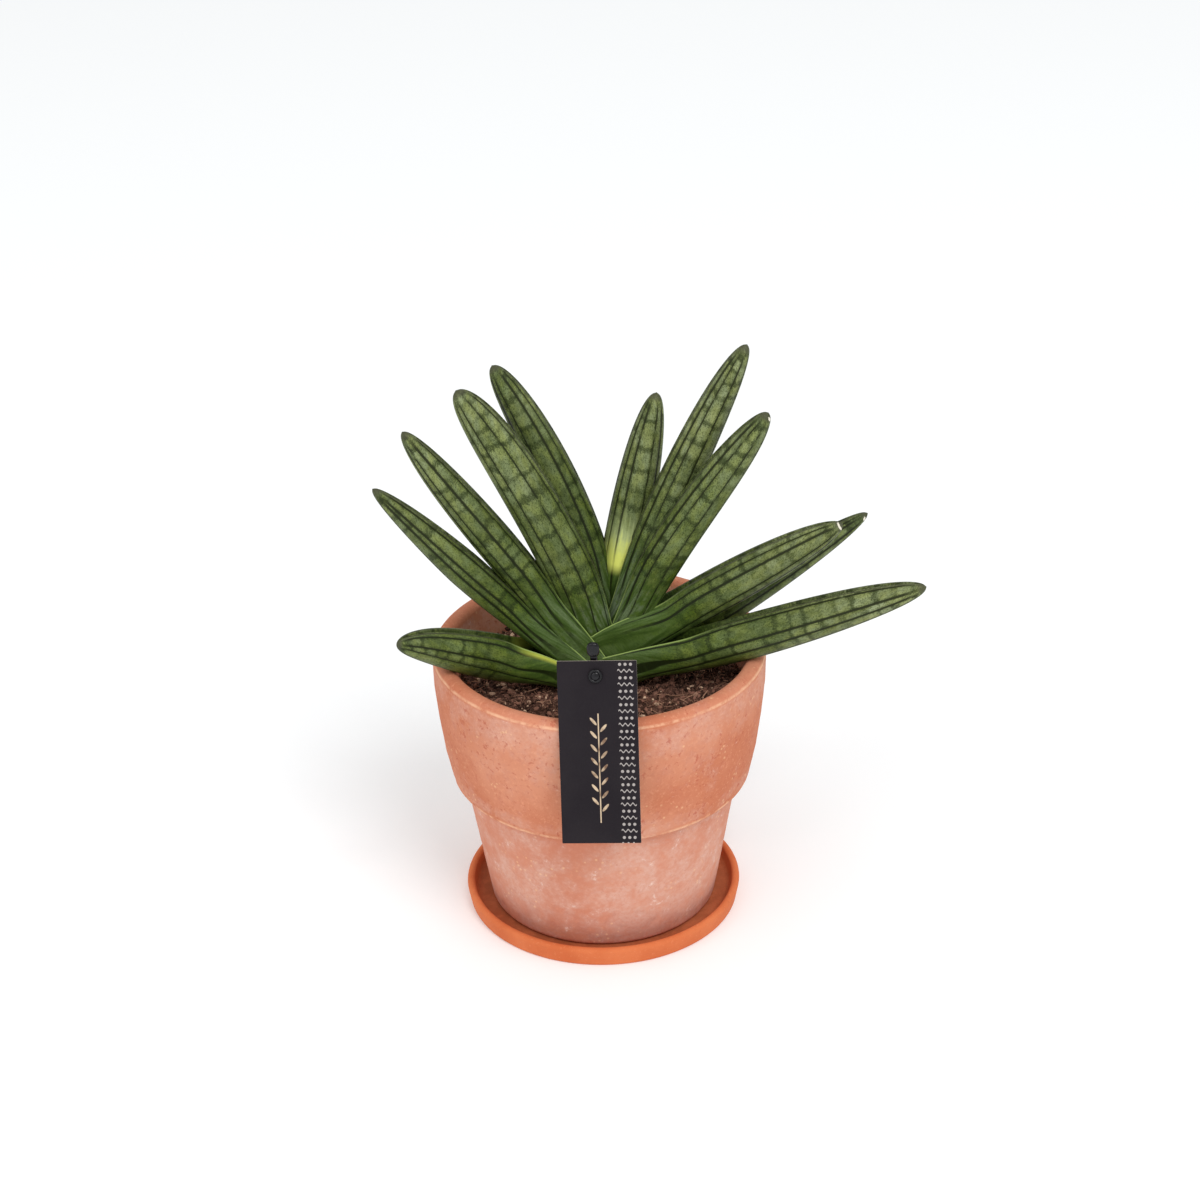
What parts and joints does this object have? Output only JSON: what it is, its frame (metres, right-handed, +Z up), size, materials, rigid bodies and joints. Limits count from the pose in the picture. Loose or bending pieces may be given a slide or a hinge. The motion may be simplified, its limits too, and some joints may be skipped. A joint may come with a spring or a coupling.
{
  "type": "potted cylindrical snake plant",
  "caption": "Snake plant with fat spindle-shaped leaves spread like a fan, in a collared terracotta pot on a saucer, with a plain dark label card on a stake.",
  "frame": {"origin": "centre of the saucer's flat underside, on the pot's axis", "axes": "+Z up along the pot's axis; -Y towards the front, where the label is; the fan of leaves spreads along X"},
  "size_m": [0.2698, 0.1877, 0.3093],
  "materials": {
    "saucer_clay": "matte fired clay",
    "terracotta": "matte fired clay with a chalky bloom",
    "potting_soil": "loose dark potting mix of peat and coir",
    "leaf": "satin living leaf",
    "card": "matte",
    "stake_plastic": "satin"
  },
  "bodies": {
    "root": {"saucer": "saucer_clay", "pot": "terracotta", "soil": "potting_soil", "leaf_01": "leaf", "leaf_02": "leaf", "leaf_03": "leaf", "leaf_04": "leaf", "leaf_05": "leaf", "leaf_06": "leaf", "leaf_07": "leaf", "leaf_08": "leaf", "leaf_09": "leaf", "leaf_10": "leaf", "leaf_11": "leaf", "tag": "card", "tag_stake": "stake_plastic"}
  },
  "joints": []
}
